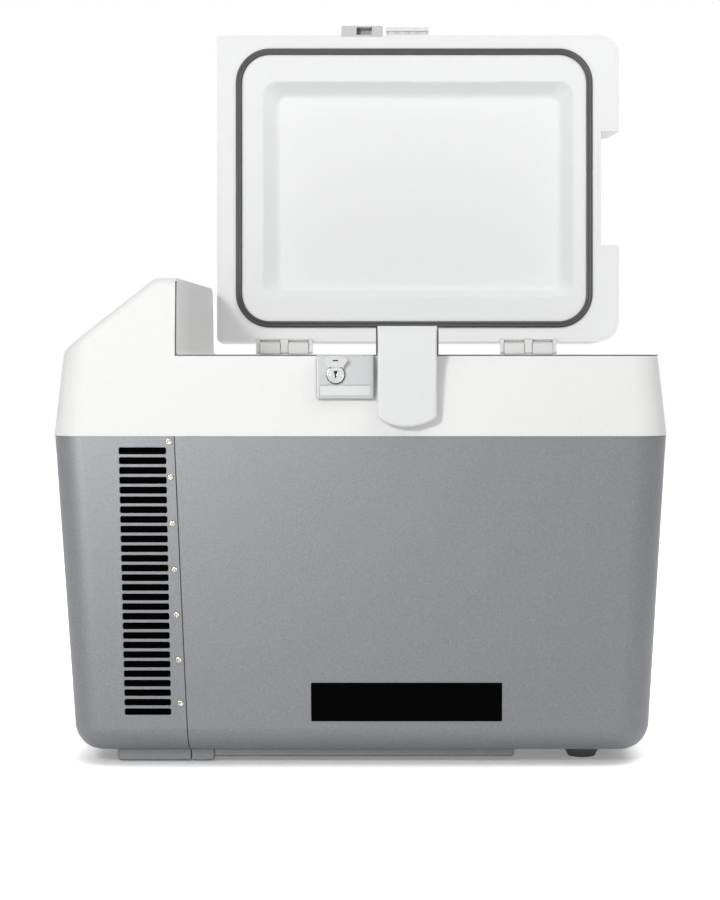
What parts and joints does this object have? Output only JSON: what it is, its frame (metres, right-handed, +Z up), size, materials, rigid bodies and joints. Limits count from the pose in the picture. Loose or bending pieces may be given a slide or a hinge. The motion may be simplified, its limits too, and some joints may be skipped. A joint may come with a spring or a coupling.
{
  "type": "vaccine carrier",
  "caption": "Portable compressor cooler box for vaccines with a hinged top lid, front latch and cam lock, louvred compressor compartment and sloped control hump.",
  "frame": {"origin": "centre of the bounding box's bottom, on the plane the feet stand on, with the lid open", "axes": "+X to the right along the long front, towards the end away from the compressor; +Y to the back, where the hinges are; +Z up"},
  "size_m": [0.581, 0.4436, 0.7589],
  "materials": {
    "grey_textured_plastic": "fine spark texture",
    "grey_moulding": "smooth satin",
    "white_plastic": "smooth satin",
    "white_liner": "smooth",
    "black_rubber": "matt",
    "key_rubber": "matt",
    "bright_steel": "bright",
    "plated_steel": "plated",
    "aluminium_sheet": "mill",
    "foam": "rigid foam",
    "black_plastic": "matt",
    "dark_lens": "gloss",
    "circuit_board": "satin",
    "brass_pins": "bright",
    "copper": "bright",
    "black_enamel": "gloss"
  },
  "bodies": {
    "body": {"body_tub": "grey_textured_plastic", "compressor_cover": "grey_textured_plastic", "cover_screws": "bright_steel", "rubber_feet": "black_rubber", "upper_housing": "white_plastic", "deck_tray": "white_plastic", "rim_seal": "black_rubber", "right_grip_cup": "white_plastic", "left_grip_cup": "white_plastic", "inner_liner": "white_liner", "evaporator_sheet": "aluminium_sheet", "body_insulation": "foam", "temperature_probe": "white_liner", "control_panel": "black_plastic", "display_window": "dark_lens", "display_board": "circuit_board", "ac_inlet": "black_plastic", "dc_inlet": "black_plastic", "inlet_pins": "brass_pins", "base_plate": "plated_steel", "compressor": "black_enamel", "compressor_grommets": "black_rubber", "condenser": "aluminium_sheet", "fan_shroud": "plated_steel", "fan_frame": "black_plastic", "control_module": "black_plastic", "filter_drier": "copper", "hinge_blocks": "white_plastic", "hinge_pins": "bright_steel", "hinge_screws": "bright_steel", "lock_housing": "grey_moulding", "lock_barrel": "bright_steel", "shutter_pin": "bright_steel", "latch_pin": "bright_steel", "latch_bracket": "plated_steel"},
    "lid": {"lid_shell": "white_plastic", "lid_panel": "white_plastic", "lid_insulation": "foam", "lid_gasket": "black_rubber", "hinge_lid_leaves": "white_plastic", "lock_strike": "plated_steel", "strike_screws": "bright_steel", "latch_catch": "white_plastic"},
    "fan": {"fan_rotor": "black_plastic"},
    "lock_cylinder": {"lock_plug": "bright_steel", "lock_hook": "plated_steel"},
    "keyhole_shutter": {"lock_shutter": "bright_steel"},
    "latch": {"latch_flap": "white_plastic", "latch_side_plates": "black_enamel"},
    "button_power": {"button_power": "key_rubber"},
    "button_set": {"button_set": "key_rubber"},
    "button_down": {"button_down": "key_rubber"},
    "button_up": {"button_up": "key_rubber"}
  },
  "joints": [
    {"name": "lid_hinge", "type": "hinge", "parent": "body", "child": "lid", "pos_m": [0.04085, 0.151, 0.3984], "axis": [1, 0, 0], "range_deg": [0, 94.3]},
    {"name": "latch_pivot", "type": "hinge", "parent": "body", "child": "latch", "pos_m": [0.0445, -0.21194, 0.359], "axis": [1, 0, 0], "range_deg": [-8.5, 0]},
    {"name": "lock_turn", "type": "hinge", "parent": "body", "child": "lock_cylinder", "pos_m": [-0.0222, -0.21204, 0.3763], "axis": [0, -1, 0], "range_deg": [0, 65]},
    {"name": "shutter_flip", "type": "hinge", "parent": "body", "child": "keyhole_shutter", "pos_m": [-0.0222, -0.21524, 0.3814], "axis": [1, 0, 0], "range_deg": [0, 150]},
    {"name": "fan_spin", "type": "hinge", "parent": "body", "child": "fan", "pos_m": [-0.229, -0.15292, 0.218], "axis": [0, 1, 0], "continuous": true},
    {"name": "press_power", "type": "slide", "parent": "body", "child": "button_power", "axis": [0.6184, 0, -0.7859], "range_m": [0, 0.001], "stiffness_N_per_m": 600},
    {"name": "press_set", "type": "slide", "parent": "body", "child": "button_set", "axis": [0.6184, 0, -0.7859], "range_m": [0, 0.001], "stiffness_N_per_m": 600},
    {"name": "press_down", "type": "slide", "parent": "body", "child": "button_down", "axis": [0.6184, 0, -0.7859], "range_m": [0, 0.001], "stiffness_N_per_m": 600},
    {"name": "press_up", "type": "slide", "parent": "body", "child": "button_up", "axis": [0.6184, 0, -0.7859], "range_m": [0, 0.001], "stiffness_N_per_m": 600}
  ]
}
